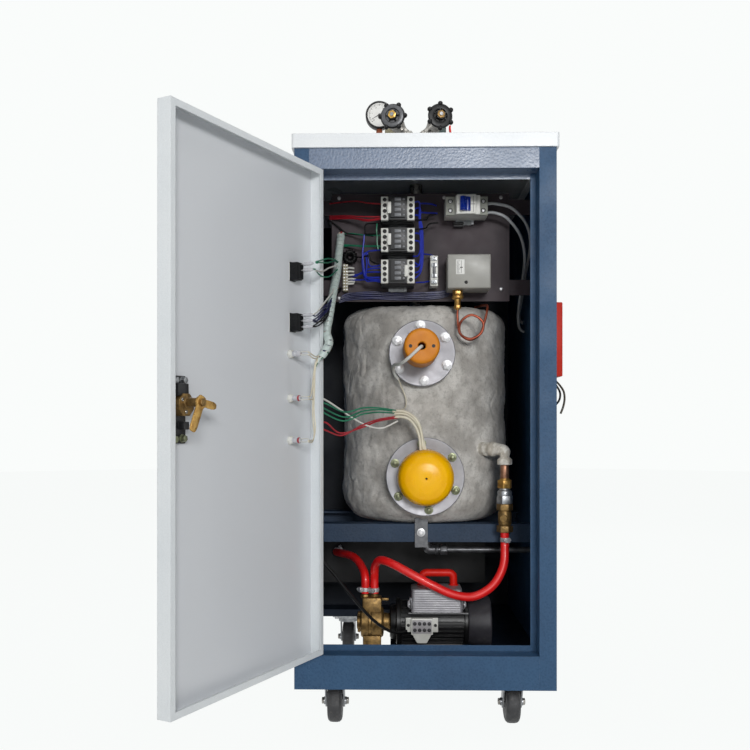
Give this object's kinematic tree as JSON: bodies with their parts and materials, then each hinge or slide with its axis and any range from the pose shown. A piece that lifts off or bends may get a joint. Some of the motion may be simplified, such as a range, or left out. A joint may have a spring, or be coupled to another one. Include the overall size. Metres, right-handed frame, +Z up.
{
  "type": "electric steam boiler in a wheeled cabinet",
  "caption": "Upright sheet-metal cabinet on castors holding a lagged steam vessel, feed pump, water tank and control panel behind a hinged door.",
  "frame": {"origin": "on the floor below the middle of the cabinet's plan", "axes": "+Z up, -Y out of the front where the doorway is, +X to the right seen from the front"},
  "size_m": [0.6393, 1.0035, 1.236],
  "materials": {
    "cabinet_enamel": "hammertone blue enamel",
    "white_enamel": "satin white enamel",
    "lagging": "glass cloth with cement",
    "zinc": "galvanised",
    "flange_steel": "turned steel",
    "amber_cap": "moulded",
    "yellow_cap": "moulded",
    "panel_enamel": "brown grey enamel",
    "black_moulding": "moulded",
    "white_moulding": "moulded",
    "blue_moulding": "moulded",
    "controller_beige": "stove enamel",
    "ivory_moulding": "moulded",
    "copper": "drawn tube",
    "grey_sheath": "cable sheath",
    "black_sheath": "cable sheath",
    "brass": "cast and turned",
    "hose_rubber": "smooth hose",
    "tank_black": "satin black",
    "handle_red": "dipped",
    "nickel": "cast and plated",
    "green_grey": "cast and painted",
    "handwheel_black": "moulded",
    "cover_red": "satin enamel",
    "lock_black": "black plate",
    "castor_steel": "pressed and plated",
    "castor_rubber": "grey black tread"
  },
  "bodies": {
    "cabinet": {"left_wall": "cabinet_enamel", "right_wall": "cabinet_enamel", "back_wall": "cabinet_enamel", "left_stile": "cabinet_enamel", "right_stile": "cabinet_enamel", "top_rail": "cabinet_enamel", "bottom_rail": "cabinet_enamel", "lid": "white_enamel", "base_channels": "cabinet_enamel", "floor_plate": "cabinet_enamel", "vessel_beams": "cabinet_enamel", "vessel": "lagging", "vessel_lugs": "zinc", "heater_flanges": "flange_steel", "upper_cap": "amber_cap", "lower_cap": "yellow_cap", "panel_plate": "panel_enamel", "mounting_rails": "zinc", "contactors": "black_moulding", "contactor_strips": "white_moulding", "breaker": "white_moulding", "pressure_controller": "controller_beige", "panel_terminals": "ivory_moulding", "capillary": "copper", "supply_cables": "grey_sheath", "feed_pipe": "brass", "check_valve": "brass", "red_hoses": "hose_rubber", "drain_pipe": "zinc", "water_tank": "tank_black", "pump_motor": "tank_black", "pump_head": "brass", "capacitor_box": "zinc", "pump_handle": "handle_red", "pump_terminals": "white_moulding", "inner_leads": "black_sheath", "steam_manifold": "nickel", "steam_valves": "nickel", "gauge": "tank_black", "safety_valve": "green_grey", "terminal_cover": "cover_red", "cable_tails": "black_sheath", "door_loom": "grey_sheath", "castor_plates": "zinc"},
    "door": {"door_panel": "white_enamel", "door_fittings": "black_moulding", "door_lock": "lock_black"},
    "lock": {"lock_cam": "brass"},
    "toggle": {"breaker_toggle": "blue_moulding"},
    "left_handwheel": {"handwheel_left": "handwheel_black"},
    "right_handwheel": {"handwheel_right": "handwheel_black"},
    "test_lever": {"safety_lever": "handle_red"},
    "swivel_front_left": {"fork_front_left": "castor_steel"},
    "roller_front_left": {"wheel_front_left": "castor_rubber"},
    "swivel_front_right": {"fork_front_right": "castor_steel"},
    "roller_front_right": {"wheel_front_right": "castor_rubber"},
    "swivel_rear_left": {"fork_rear_left": "castor_steel"},
    "roller_rear_left": {"wheel_rear_left": "castor_rubber"},
    "swivel_rear_right": {"fork_rear_right": "castor_steel"},
    "roller_rear_right": {"wheel_rear_right": "castor_rubber"}
  },
  "joints": [
    {"name": "door_hinge", "type": "hinge", "parent": "cabinet", "child": "door", "pos_m": [-0.1945, -0.31, 0.562], "axis": [0, 0, 1], "range_deg": [0, 117], "deforming": ["door_loom"]},
    {"name": "lock_turn", "type": "hinge", "parent": "door", "child": "lock", "pos_m": [-0.31507, -0.63914, 0.571], "axis": [0.891, -0.454, 0], "range_deg": [-65, 0]},
    {"name": "breaker_switch", "type": "hinge", "parent": "cabinet", "child": "toggle", "pos_m": [0.084, -0.173, 0.95229], "axis": [0, 0, 1], "range_deg": [0, 80]},
    {"name": "left_valve_turn", "type": "hinge", "parent": "cabinet", "child": "left_handwheel", "pos_m": [-0.0501, 0.01, 1.16916], "axis": [-0.1392, -0.9903, 0], "continuous": true},
    {"name": "right_valve_turn", "type": "hinge", "parent": "cabinet", "child": "right_handwheel", "pos_m": [0.0361, 0.01, 1.16916], "axis": [0.1392, -0.9903, 0], "continuous": true},
    {"name": "test_lever_lift", "type": "hinge", "parent": "cabinet", "child": "test_lever", "pos_m": [0.074, 0.075, 1.132], "axis": [0, 1, 0], "range_deg": [0, 25]},
    {"name": "swivel_front_left", "type": "hinge", "parent": "cabinet", "child": "swivel_front_left", "pos_m": [-0.16, -0.24, 0.085], "axis": [0, 0, 1], "continuous": true},
    {"name": "roll_front_left", "type": "hinge", "parent": "swivel_front_left", "child": "roller_front_left", "pos_m": [-0.16, -0.218, 0.0375], "axis": [1, 0, 0], "continuous": true},
    {"name": "swivel_front_right", "type": "hinge", "parent": "cabinet", "child": "swivel_front_right", "pos_m": [0.16, -0.24, 0.085], "axis": [0, 0, 1], "continuous": true},
    {"name": "roll_front_right", "type": "hinge", "parent": "swivel_front_right", "child": "roller_front_right", "pos_m": [0.16, -0.218, 0.0375], "axis": [1, 0, 0], "continuous": true},
    {"name": "swivel_rear_left", "type": "hinge", "parent": "cabinet", "child": "swivel_rear_left", "pos_m": [-0.16, 0.24, 0.085], "axis": [0, 0, 1], "continuous": true},
    {"name": "roll_rear_left", "type": "hinge", "parent": "swivel_rear_left", "child": "roller_rear_left", "pos_m": [-0.16, 0.262, 0.0375], "axis": [1, 0, 0], "continuous": true},
    {"name": "swivel_rear_right", "type": "hinge", "parent": "cabinet", "child": "swivel_rear_right", "pos_m": [0.16, 0.24, 0.085], "axis": [0, 0, 1], "continuous": true},
    {"name": "roll_rear_right", "type": "hinge", "parent": "swivel_rear_right", "child": "roller_rear_right", "pos_m": [0.16, 0.262, 0.0375], "axis": [1, 0, 0], "continuous": true}
  ]
}
